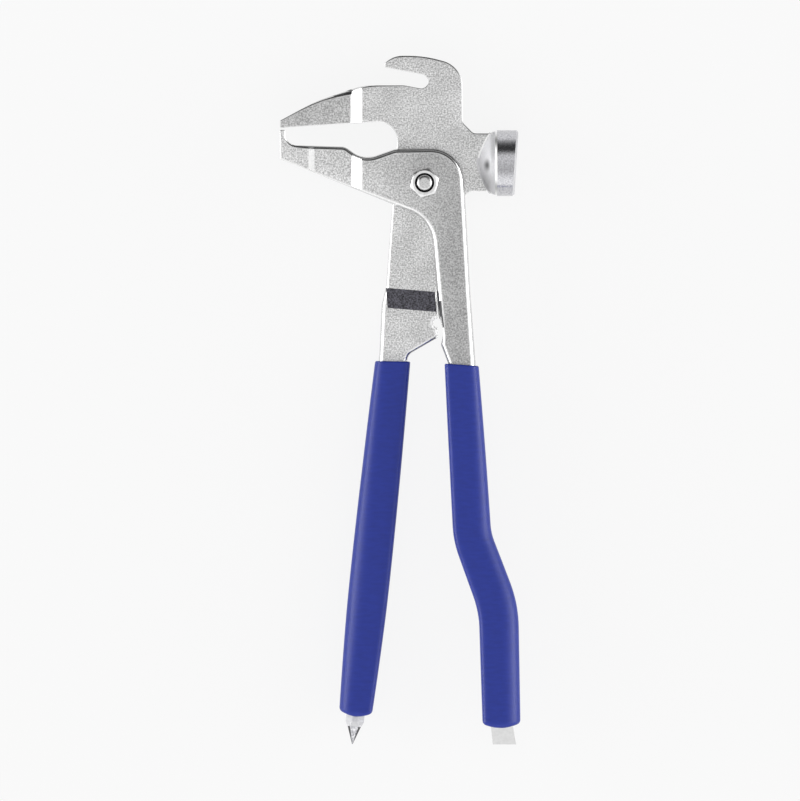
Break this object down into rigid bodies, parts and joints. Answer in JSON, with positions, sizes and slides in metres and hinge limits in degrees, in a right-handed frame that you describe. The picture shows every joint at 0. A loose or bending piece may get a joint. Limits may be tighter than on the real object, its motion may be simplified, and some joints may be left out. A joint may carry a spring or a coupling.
{
  "type": "wheel weight pliers",
  "caption": "Forged wheel weight pliers with a claw, a hook, a hammer head, a pry blade and a pointed handle end, hinged on a bolt, with sleeved handles.",
  "frame": {"origin": "middle of the whole tool's outline, at the height of the hammer head's lowest line", "axes": "+Y along the tool from the handle ends to the hook, +X towards the hammer head, +Z along the pivot bolt towards its nut"},
  "size_m": [0.0926, 0.2652, 0.0296],
  "materials": {
    "back_forging": "satin, fine-grained forged and tumbled steel",
    "front_forging": "satin, fine-grained forged and tumbled steel",
    "bolt": "plated, turned",
    "nut": "bright zinc plated",
    "sleeve": "soft dipped plastic, satin",
    "band": "thin matt black print"
  },
  "bodies": {
    "hammer_side": {"hammer_lever": "back_forging", "left_sleeve": "sleeve", "marking_band": "band", "pivot_bolt": "bolt", "pivot_nut": "nut"},
    "claw_side": {"claw_lever": "front_forging", "right_sleeve": "sleeve"}
  },
  "joints": [
    {"name": "pivot", "type": "hinge", "parent": "hammer_side", "child": "claw_side", "pos_m": [0.00935, 0.08352, 0.01625], "axis": [0, 0, 1], "range_deg": [-0.5, 35]}
  ]
}
